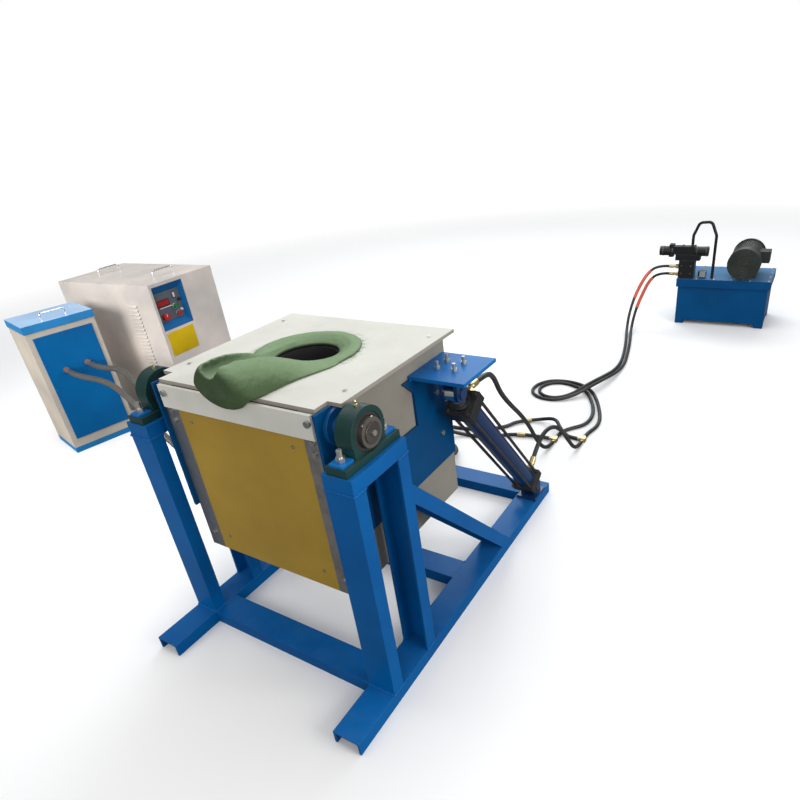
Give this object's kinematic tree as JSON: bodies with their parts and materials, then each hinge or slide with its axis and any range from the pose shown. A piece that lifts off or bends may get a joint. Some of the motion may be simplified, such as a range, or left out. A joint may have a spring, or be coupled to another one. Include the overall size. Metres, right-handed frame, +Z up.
{
  "type": "tilting induction melting furnace",
  "caption": "Crucible furnace on pillow blocks in a welded stand, tilted by hydraulic cylinders, with its oil unit, capacitor box, water-cooled leads and power cabinet.",
  "frame": {"origin": "on the floor, on the furnace's centre line, in the front flange of the stand's front cross member", "axes": "+Z up, -Y to the pouring side where the spout is, +X to the right of a person who stands behind the furnace and looks over the spout; the capacitor box and the power cabinet stand at -X and the hydraulic unit at +Y"},
  "size_m": [3.9924, 4.377, 1.0954],
  "materials": {
    "base_rails": "gloss",
    "cross_members": "gloss",
    "stand_posts": "gloss",
    "stand_beams": "gloss",
    "stand_braces": "gloss",
    "bearing_housings": "gloss",
    "bearing_outer_rings": "satin",
    "bearing_pads": "satin",
    "bearing_bolts": "satin",
    "trunnion_shafts": "satin",
    "bearing_inner_rings": "satin",
    "side_plates": "gloss",
    "lift_brackets": "gloss",
    "lid_board": "matte",
    "front_apron": "matte",
    "front_panel": "satin",
    "corner_strips": "satin",
    "body_panels": "satin",
    "bottom_board": "matte",
    "furnace_fasteners": "satin",
    "crucible": "matte",
    "lining": "matte",
    "pouring_spout": "matte",
    "induction_coil": "satin",
    "coil_columns": "matte",
    "cylinder_brackets": "gloss",
    "rod_clevises": "gloss",
    "hose_couplings": "satin",
    "box_shell": "satin",
    "box_lid": "gloss",
    "box_panel": "gloss",
    "lead_lugs": "satin",
    "top_handles": "polished",
    "cabinet_shell": "satin",
    "control_panel": "satin",
    "oil_tank": "gloss",
    "pump_motor": "satin",
    "valve_block": "satin",
    "filler_cap": "polished",
    "start_button": "gloss",
    "stop_button": "gloss",
    "power_knob": "gloss",
    "right_barrel": "gloss",
    "right_caps": "satin",
    "right_tie_rods": "satin",
    "right_piston_rod": "polished",
    "right_fittings": "satin",
    "right_head_hose": "matte",
    "right_base_hose": "matte",
    "left_barrel": "gloss",
    "left_caps": "satin",
    "left_tie_rods": "satin",
    "left_piston_rod": "polished",
    "left_fittings": "satin",
    "left_head_hose": "matte",
    "left_base_hose": "matte",
    "pressure_hose": "matte",
    "return_hose": "matte",
    "inner_lead": "satin",
    "outer_lead": "satin"
  },
  "bodies": {
    "stand_and_units": {"base_rails": "base_rails", "cross_members": "cross_members", "stand_posts": "stand_posts", "stand_beams": "stand_beams", "stand_braces": "stand_braces", "bearing_housings": "bearing_housings", "bearing_outer_rings": "bearing_outer_rings", "bearing_pads": "bearing_pads", "bearing_bolts": "bearing_bolts", "cylinder_brackets": "cylinder_brackets", "hose_couplings": "hose_couplings", "box_shell": "box_shell", "box_lid": "box_lid", "box_panel": "box_panel", "lead_lugs": "lead_lugs", "top_handles": "top_handles", "cabinet_shell": "cabinet_shell", "control_panel": "control_panel", "oil_tank": "oil_tank", "pump_motor": "pump_motor", "valve_block": "valve_block", "right_head_hose": "right_head_hose", "right_base_hose": "right_base_hose", "left_head_hose": "left_head_hose", "left_base_hose": "left_base_hose", "pressure_hose": "pressure_hose", "return_hose": "return_hose", "inner_lead": "inner_lead", "outer_lead": "outer_lead"},
    "furnace": {"side_plates": "side_plates", "lift_brackets": "lift_brackets", "trunnion_shafts": "trunnion_shafts", "bearing_inner_rings": "bearing_inner_rings", "lid_board": "lid_board", "front_apron": "front_apron", "front_panel": "front_panel", "corner_strips": "corner_strips", "body_panels": "body_panels", "bottom_board": "bottom_board", "furnace_fasteners": "furnace_fasteners", "crucible": "crucible", "lining": "lining", "pouring_spout": "pouring_spout", "induction_coil": "induction_coil", "coil_columns": "coil_columns", "rod_clevises": "rod_clevises"},
    "right_cylinder": {"right_barrel": "right_barrel", "right_caps": "right_caps", "right_tie_rods": "right_tie_rods", "right_fittings": "right_fittings"},
    "right_rod": {"right_piston_rod": "right_piston_rod"},
    "left_cylinder": {"left_barrel": "left_barrel", "left_caps": "left_caps", "left_tie_rods": "left_tie_rods", "left_fittings": "left_fittings"},
    "left_rod": {"left_piston_rod": "left_piston_rod"},
    "start_button": {"start_button": "start_button"},
    "stop_button": {"stop_button": "stop_button"},
    "power_knob": {"power_knob": "power_knob"},
    "filler_cap": {"filler_cap": "filler_cap"}
  },
  "joints": [
    {"name": "furnace_tilt", "type": "hinge", "parent": "stand_and_units", "child": "furnace", "pos_m": [0, 0.1185, 0.924], "axis": [1, 0, 0], "range_deg": [0, 90], "deforming": ["inner_lead", "outer_lead"]},
    {"name": "right_cylinder_swing", "type": "hinge", "parent": "stand_and_units", "child": "right_cylinder", "pos_m": [0.42, 1.175, 0.095], "axis": [1, 0, 0], "range_deg": [-2.64, 0], "deforming": ["right_head_hose", "right_base_hose"]},
    {"name": "right_rod_slide", "type": "slide", "parent": "right_cylinder", "child": "right_rod", "axis": [0, -0.6289, 0.7775], "range_m": [0, 0.6758]},
    {"name": "left_cylinder_swing", "type": "hinge", "parent": "stand_and_units", "child": "left_cylinder", "pos_m": [-0.42, 1.175, 0.095], "axis": [1, 0, 0], "range_deg": [-2.64, 0], "deforming": ["left_head_hose", "left_base_hose"]},
    {"name": "left_rod_slide", "type": "slide", "parent": "left_cylinder", "child": "left_rod", "axis": [0, -0.6289, 0.7775], "range_m": [0, 0.6758]},
    {"name": "start_button_press", "type": "slide", "parent": "stand_and_units", "child": "start_button", "axis": [-0.9982, -0.0593, 0], "range_m": [0, 0.004], "stiffness_N_per_m": 400, "springref_m": -0.001},
    {"name": "stop_button_press", "type": "slide", "parent": "stand_and_units", "child": "stop_button", "axis": [-0.9982, -0.0593, 0], "range_m": [0, 0.004], "stiffness_N_per_m": 400, "springref_m": -0.001},
    {"name": "power_knob_turn", "type": "hinge", "parent": "stand_and_units", "child": "power_knob", "pos_m": [-1.99087, 1.21646, 0.69], "axis": [0.9982, 0.0593, 0], "range_deg": [-270, 0]},
    {"name": "filler_cap_turn", "type": "hinge", "parent": "stand_and_units", "child": "filler_cap", "pos_m": [0.666, 3.84, 0.39], "axis": [0, 0, 1], "continuous": true}
  ],
  "couplings": [
    {"joint": "right_cylinder_swing", "follows": "furnace_tilt", "ratio": -0.02918},
    {"joint": "right_rod_slide", "follows": "furnace_tilt", "m_per_rad": 0.43019},
    {"joint": "left_cylinder_swing", "follows": "furnace_tilt", "ratio": -0.02918},
    {"joint": "left_rod_slide", "follows": "furnace_tilt", "m_per_rad": 0.43019}
  ]
}
